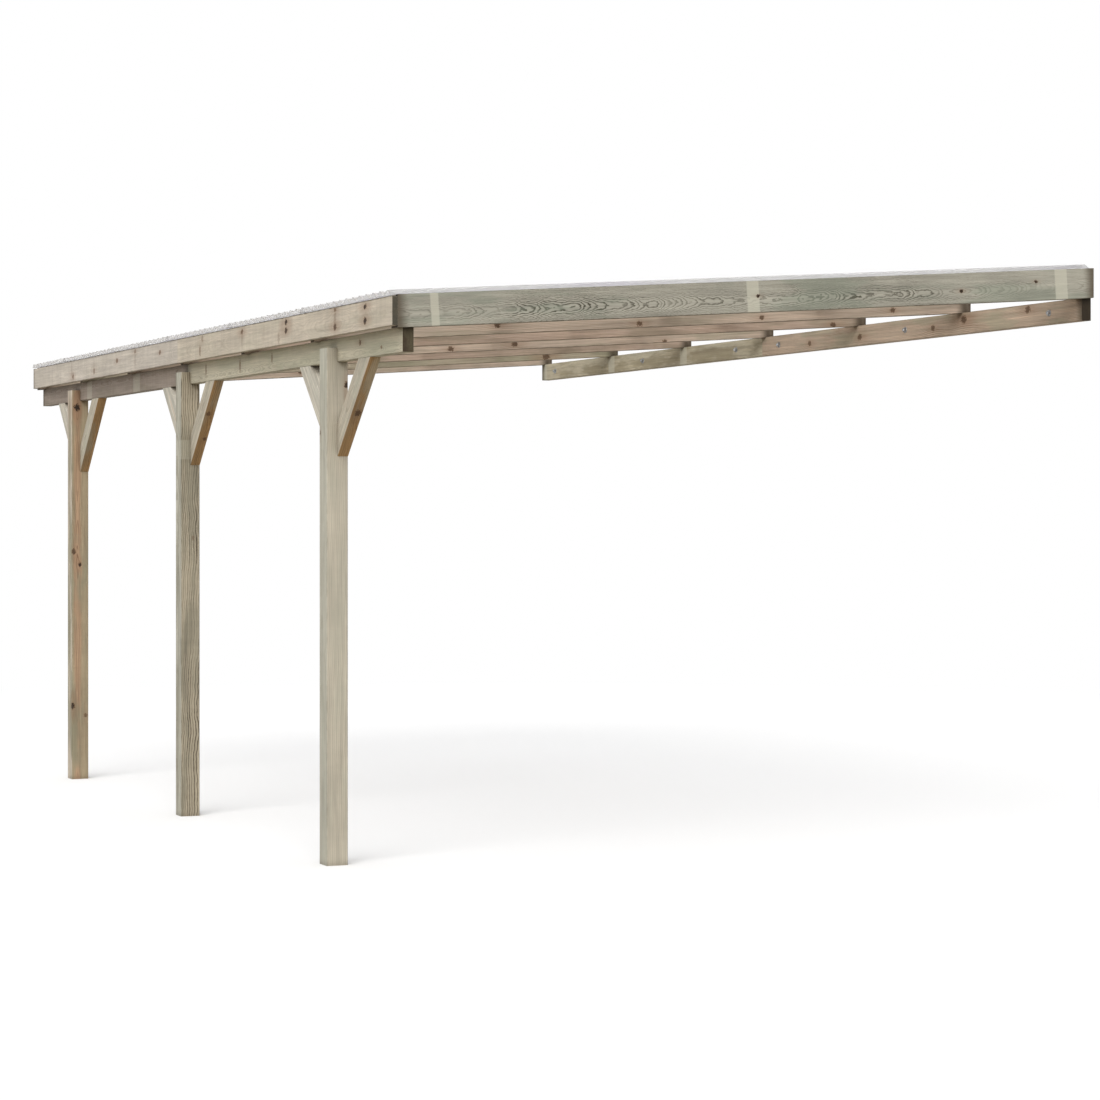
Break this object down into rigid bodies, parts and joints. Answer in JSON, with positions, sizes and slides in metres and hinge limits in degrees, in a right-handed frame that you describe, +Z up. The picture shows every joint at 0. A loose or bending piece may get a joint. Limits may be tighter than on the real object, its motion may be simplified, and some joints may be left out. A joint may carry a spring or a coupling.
{
  "type": "lean-to timber carport",
  "caption": "Wall-mounted timber carport: square posts with knee braces carry a beam, and sloping rafters under clear corrugated sheets run back to a wall plate.",
  "frame": {"origin": "on the flat wall face of the wall plate, at half its height and half the carport's length", "axes": "+X out of the wall plate into the house wall, +Y along the wall from the front, where a car drives in, to the back, +Z up"},
  "size_m": [3.1574, 5.7, 2.465],
  "materials": {
    "post_timber": "planed pressure-treated softwood, weathered",
    "frame_timber": "planed pressure-treated softwood",
    "fascia_timber": "planed pressure-treated softwood board",
    "roof_plastic": "translucent corrugated sheet",
    "zinc_steel": "zinc plated"
  },
  "bodies": {
    "root": {"post_front": "post_timber", "brace_front_forward": "frame_timber", "brace_front_rearward": "frame_timber", "post_middle": "post_timber", "brace_middle_forward": "frame_timber", "brace_middle_rearward": "frame_timber", "post_back": "post_timber", "brace_back_forward": "frame_timber", "brace_back_rearward": "frame_timber", "beam_front": "frame_timber", "wall_plate_front": "frame_timber", "beam_back": "frame_timber", "wall_plate_back": "frame_timber", "rafter_1": "frame_timber", "rafter_2": "frame_timber", "rafter_3": "frame_timber", "rafter_4": "frame_timber", "rafter_5": "frame_timber", "rafter_6": "frame_timber", "rafter_7": "frame_timber", "fascia_front": "fascia_timber", "fascia_back": "fascia_timber", "fascia_eave_front": "fascia_timber", "fascia_eave_back": "fascia_timber", "batten_1": "frame_timber", "batten_2": "frame_timber", "batten_3": "frame_timber", "batten_4": "frame_timber", "batten_5": "frame_timber", "roof_sheet_1": "roof_plastic", "roof_sheet_2": "roof_plastic", "roof_sheet_3": "roof_plastic", "roof_sheet_4": "roof_plastic", "roof_sheet_5": "roof_plastic", "roof_sheet_6": "roof_plastic", "wall_bolt_1": "zinc_steel", "wall_bolt_2": "zinc_steel", "wall_bolt_3": "zinc_steel", "wall_bolt_4": "zinc_steel", "wall_bolt_5": "zinc_steel", "wall_bolt_6": "zinc_steel"}
  },
  "joints": []
}
